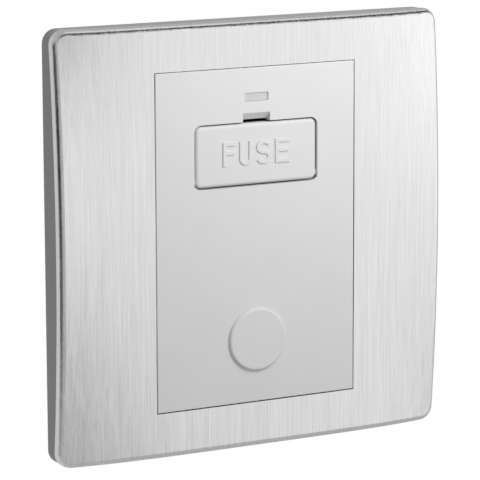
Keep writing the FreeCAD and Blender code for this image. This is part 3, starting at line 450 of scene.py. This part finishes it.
def brushed(name, colour):
    made = Finish(name, colour, 0.38, 1.0)
    broad = made.noise(1.0, 2, vector=made.stretched((1300, 1300, 26)))
    fine = made.noise(1.0, 3, 0.75, made.stretched((3300, 3300, 60)))
    grain = (broad * 0.22 + fine * 0.78 - 0.5) * 3.4 + 0.5
    made.feed(Base_Color=made.tint(grain, darker(colour, 0.88), darker(colour, 1.1)),
              Roughness=grain * 0.1 + 0.25, Normal=made.bump(grain, 0.000003))
    return made.material


dress("face_plate", brushed("brushed_steel_plate", (0.88, 0.88, 0.88)))


# Studio. A pale floor in a white room, one soft lamp in front, above and a little to the right, and
# two dark cards, on the left and overhead. Only gloss shows the cards: they draw the dark lines along
# the plate's rolled edge.

def studio_white(name, level):
    """A pale surface that shows as white to the camera and as itself in all else."""
    made = Finish(name, (level, level, level), 0.9)
    camera = made.node("ShaderNodeLightPath", output="Is Camera Ray")
    glow = made.node("ShaderNodeEmission", {}, {"Color": (1, 1, 1, 1), "Strength": 1.0})
    both = made.node("ShaderNodeMixShader", {}, {0: camera * 0.995,
                                                 1: Shade(made, made.shader.outputs[0]), 2: glow})
    made.tree.links.new(both.socket, made.output.inputs["Surface"])
    return made.material


def stand(name, mesh, material):
    """An object of the studio, which isn't part of the unit."""
    held = bpy.data.objects.new(name, mesh)
    bpy.context.collection.objects.link(held)
    mesh.materials.append(material)
    return held


black_card = moulding("black_card", (0.03, 0.03, 0.03), 0.9)


def dark_card(name, place, toward, width, height):
    """A black card on a stand, seen in gloss alone."""
    x, y = width / 2, height / 2
    mesh = bpy.data.meshes.new(name)
    mesh.from_pydata([(-x, -y, 0), (x, -y, 0), (x, y, 0), (-x, y, 0)], [], [(0, 1, 2, 3)])
    aim = (Vector(toward) - Vector(place)).to_track_quat("Z", "Y")
    mesh.transform(Matrix.Translation(place) @ aim.to_matrix().to_4x4())
    card = stand(name, mesh, black_card)
    card.visible_camera = card.visible_diffuse = card.visible_shadow = card.visible_transmission = False


FLOOR_SIZE = 6.0
FLOOR_Z = -0.16

floor_mesh = bpy.data.meshes.new("floor")
shape = bmesh.new()
bmesh.ops.create_grid(shape, x_segments=2, y_segments=2, size=FLOOR_SIZE)
bmesh.ops.translate(shape, verts=shape.verts, vec=(0, 0, FLOOR_Z))
shape.to_mesh(floor_mesh)
shape.free()
stand("floor", floor_mesh, studio_white("pale_floor", 0.8)).visible_glossy = False

dark_card("dark_card_left", (-0.38, -0.17, -0.02), (0, 0, 0), 0.42, 0.28)
dark_card("dark_card_top", (0.17, -0.24, 0.25), (0, 0, 0), 0.8, 0.22)

world = bpy.data.worlds.new("studio")
bpy.context.scene.world = world
world.use_nodes = True
studio = Nodes(world.node_tree)
camera_sees = studio.node("ShaderNodeLightPath", output="Is Camera Ray")
gloss = studio.node("ShaderNodeLightPath", output="Is Glossy Ray")
glass = studio.node("ShaderNodeLightPath", output="Is Transmission Ray")
# in gloss the room is brightest in front on the right, and darker overhead and behind
heading = studio.node("ShaderNodeTexCoord", output="Generated")
lamp_side = studio.node("ShaderNodeVectorMath", {"operation": "DOT_PRODUCT"},
                        {0: heading, 1: Vector((0.7, -0.6, 0.4)).normalized()}, "Value")
room_levels = ((0.0, 0.8), (0.4, 0.58), (0.7, 0.55), (0.8, 0.64), (0.85, 0.82), (0.91, 1.36),
               (0.96, 1.45))
room = studio.node("ShaderNodeValToRGB", {"stops": room_levels}, {0: lamp_side * 0.5 + 0.5})
ROOM_LIGHT = 0.45
shown = studio.node("ShaderNodeMix", {}, {0: gloss, 2: ROOM_LIGHT, 3: room})
white = camera_sees.maths("MAXIMUM", camera_sees, glass)
strength = studio.node("ShaderNodeMix", {}, {0: white, 2: shown, 3: 1.0})
air = studio.node("ShaderNodeBackground", {}, {"Strength": strength})
studio.node("ShaderNodeOutputWorld", {}, {0: air})


def softbox(name, place, toward, width, height, power):
    lamp = bpy.data.lights.new(name, "AREA")
    lamp.shape = "RECTANGLE"
    lamp.size, lamp.size_y = width, height
    lamp.energy = power
    held = bpy.data.objects.new(name, lamp)
    bpy.context.collection.objects.link(held)
    aim = (Vector(toward) - Vector(place)).to_track_quat("-Z", "Y")
    held.matrix_world = Matrix.Translation(place) @ aim.to_matrix().to_4x4()
    return held


key = softbox("key_softbox", (0.045, -0.13, 0.1), (0, 0, 0.01), 0.12, 0.12, 0.235)
key.visible_camera = key.visible_glossy = False


# Camera. On the left of the unit and a little above it, where the photograph was taken from, turned
# a little to bring the unit to its place in the picture, and without shift.

PHOTO = 480
SENSOR = 36.0
AZIMUTH, ELEVATION, ROLL = (math.radians(a) for a in (-28.391, 10.479, -0.186))
DISTANCE = 0.58402
FOCAL = 2910.50
OFFSET = (-0.0000923, 0.0019705)

looking = Vector((-math.sin(AZIMUTH) * math.cos(ELEVATION), math.cos(AZIMUTH) * math.cos(ELEVATION),
                  -math.sin(ELEVATION)))
level_right = Vector((math.cos(AZIMUTH), math.sin(AZIMUTH), 0))
level_up = level_right.cross(looking)
right = math.cos(ROLL) * level_right + math.sin(ROLL) * level_up
up = math.cos(ROLL) * level_up - math.sin(ROLL) * level_right
lens = bpy.data.cameras.new("camera")
lens.sensor_width = SENSOR
lens.lens = FOCAL / PHOTO * SENSOR
lens.clip_start, lens.clip_end = 0.01, 50.0
camera = bpy.data.objects.new("camera", lens)
bpy.context.collection.objects.link(camera)
spot = -DISTANCE * looking - OFFSET[0] * right - OFFSET[1] * up
camera.matrix_world = Matrix((
    (right.x, up.x, -looking.x, spot.x), (right.y, up.y, -looking.y, spot.y),
    (right.z, up.z, -looking.z, spot.z), (0, 0, 0, 1)))
bpy.context.scene.camera = camera
bpy.context.scene.view_settings.view_transform = "Standard"
